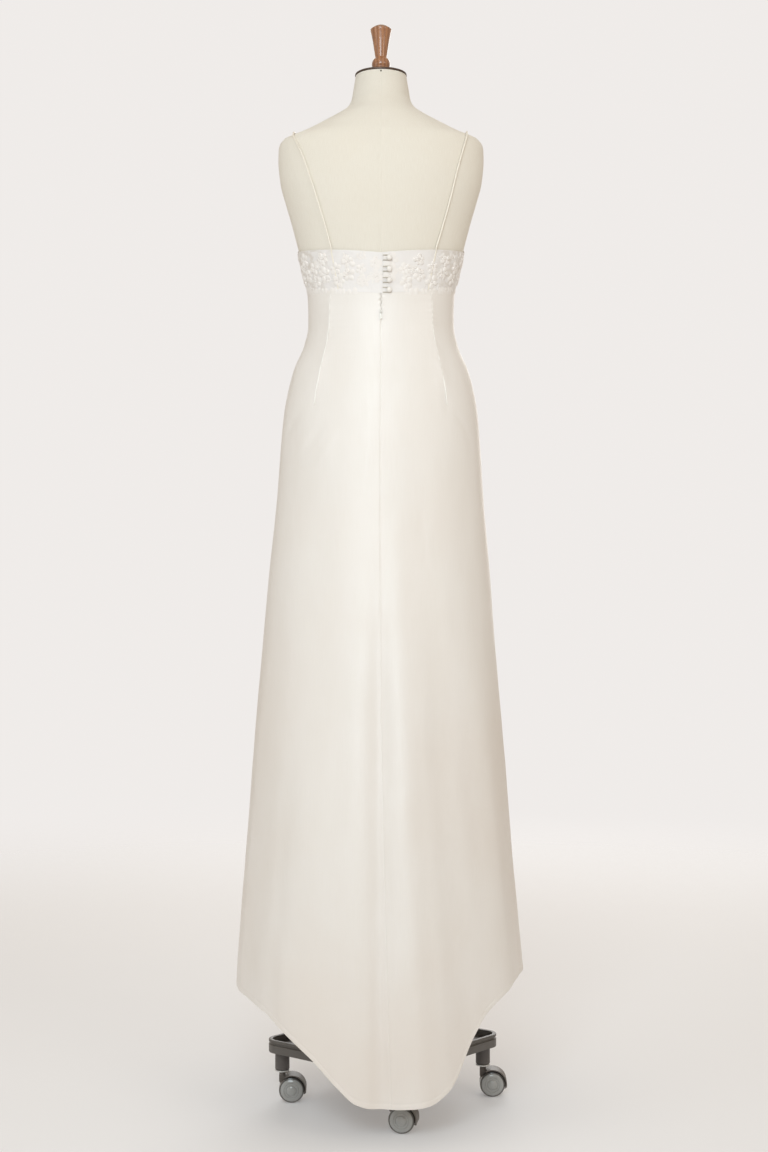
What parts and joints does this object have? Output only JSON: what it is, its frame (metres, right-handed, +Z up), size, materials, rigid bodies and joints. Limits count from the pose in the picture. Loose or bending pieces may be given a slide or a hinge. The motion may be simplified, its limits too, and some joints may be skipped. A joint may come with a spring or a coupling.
{
  "type": "wedding dress on a limbless dress form with a wheeled stand",
  "caption": "Full-length satin slip dress with a lace band, thin straps, buttoned back and longer back hem, worn by a linen dress form on a castor stand.",
  "frame": {"origin": "middle of the whole footprint, on the floor under the wheels", "axes": "+Z up; the wearer's front faces -Y and the wearer's left side is +X"},
  "size_m": [0.4991, 0.4593, 1.8786],
  "materials": {
    "satin": "heavy ivory satin with a soft sheen",
    "lace": "embroidered lace with small beads",
    "linen": "natural linen cover",
    "finial_wood": "turned and varnished",
    "cap_metal": "dark brown, half gloss",
    "painted_base": "dark grey-brown paint",
    "socket_plastic": "moulded",
    "hood_plastic": "moulded",
    "wheel_plastic": "moulded, half gloss",
    "zip_metal": "worn nickel"
  },
  "bodies": {
    "dress_and_stand": {"skirt_front": "satin", "skirt_back_left": "satin", "skirt_back_right": "satin", "strap_left": "satin", "strap_right": "satin", "button_1": "satin", "button_2": "satin", "button_3": "satin", "button_4": "satin", "button_loop_1": "satin", "button_loop_2": "satin", "button_loop_3": "satin", "button_loop_4": "satin", "bodice_front": "lace", "band_back_left": "lace", "band_back_right": "lace", "form_torso": "linen", "finial": "finial_wood", "neck_cap": "cap_metal", "base_rim": "painted_base", "pole": "painted_base", "base_deck": "socket_plastic", "castor_1_socket": "socket_plastic", "castor_2_socket": "socket_plastic", "castor_3_socket": "socket_plastic", "castor_4_socket": "socket_plastic", "zip_slider": "zip_metal"},
    "castor_1_fork": {"castor_1_fork": "hood_plastic"},
    "castor_1_wheels": {"castor_1_wheels": "wheel_plastic"},
    "castor_2_fork": {"castor_2_fork": "hood_plastic"},
    "castor_2_wheels": {"castor_2_wheels": "wheel_plastic"},
    "castor_3_fork": {"castor_3_fork": "hood_plastic"},
    "castor_3_wheels": {"castor_3_wheels": "wheel_plastic"},
    "castor_4_fork": {"castor_4_fork": "hood_plastic"},
    "castor_4_wheels": {"castor_4_wheels": "wheel_plastic"},
    "zip_tab": {"zip_pull": "zip_metal"}
  },
  "joints": [
    {"name": "castor_1_swivel", "type": "hinge", "parent": "dress_and_stand", "child": "castor_1_fork", "pos_m": [0.17183, -0.00812, 0.06], "axis": [0, 0, 1], "continuous": true},
    {"name": "castor_1_roll", "type": "hinge", "parent": "castor_1_fork", "child": "castor_1_wheels", "pos_m": [0.15533, -0.0084, 0.02207], "axis": [-0.0175, 0.9998, 0], "continuous": true},
    {"name": "castor_2_swivel", "type": "hinge", "parent": "dress_and_stand", "child": "castor_2_fork", "pos_m": [-0.01938, 0.15233, 0.06], "axis": [0, 0, 1], "continuous": true},
    {"name": "castor_2_roll", "type": "hinge", "parent": "castor_2_fork", "child": "castor_2_wheels", "pos_m": [-0.03563, 0.15519, 0.02207], "axis": [0.1736, 0.9848, 0], "continuous": true},
    {"name": "castor_3_swivel", "type": "hinge", "parent": "dress_and_stand", "child": "castor_3_fork", "pos_m": [-0.17953, -0.04195, 0.06], "axis": [0, 0, 1], "continuous": true},
    {"name": "castor_3_roll", "type": "hinge", "parent": "castor_3_fork", "child": "castor_3_wheels", "pos_m": [-0.19602, -0.04137, 0.02207], "axis": [0.0349, 0.9994, 0], "continuous": true},
    {"name": "castor_4_swivel", "type": "hinge", "parent": "dress_and_stand", "child": "castor_4_fork", "pos_m": [0.01138, -0.19933, 0.06], "axis": [0, 0, 1], "continuous": true},
    {"name": "castor_4_roll", "type": "hinge", "parent": "castor_4_fork", "child": "castor_4_wheels", "pos_m": [-0.00357, -0.2063, 0.02207], "axis": [-0.4226, 0.9063, 0], "continuous": true},
    {"name": "zip_tab_lift", "type": "hinge", "parent": "dress_and_stand", "child": "zip_tab", "pos_m": [0, 0.07033, 1.361], "axis": [1, 0, 0], "range_deg": [0, 150]}
  ]
}
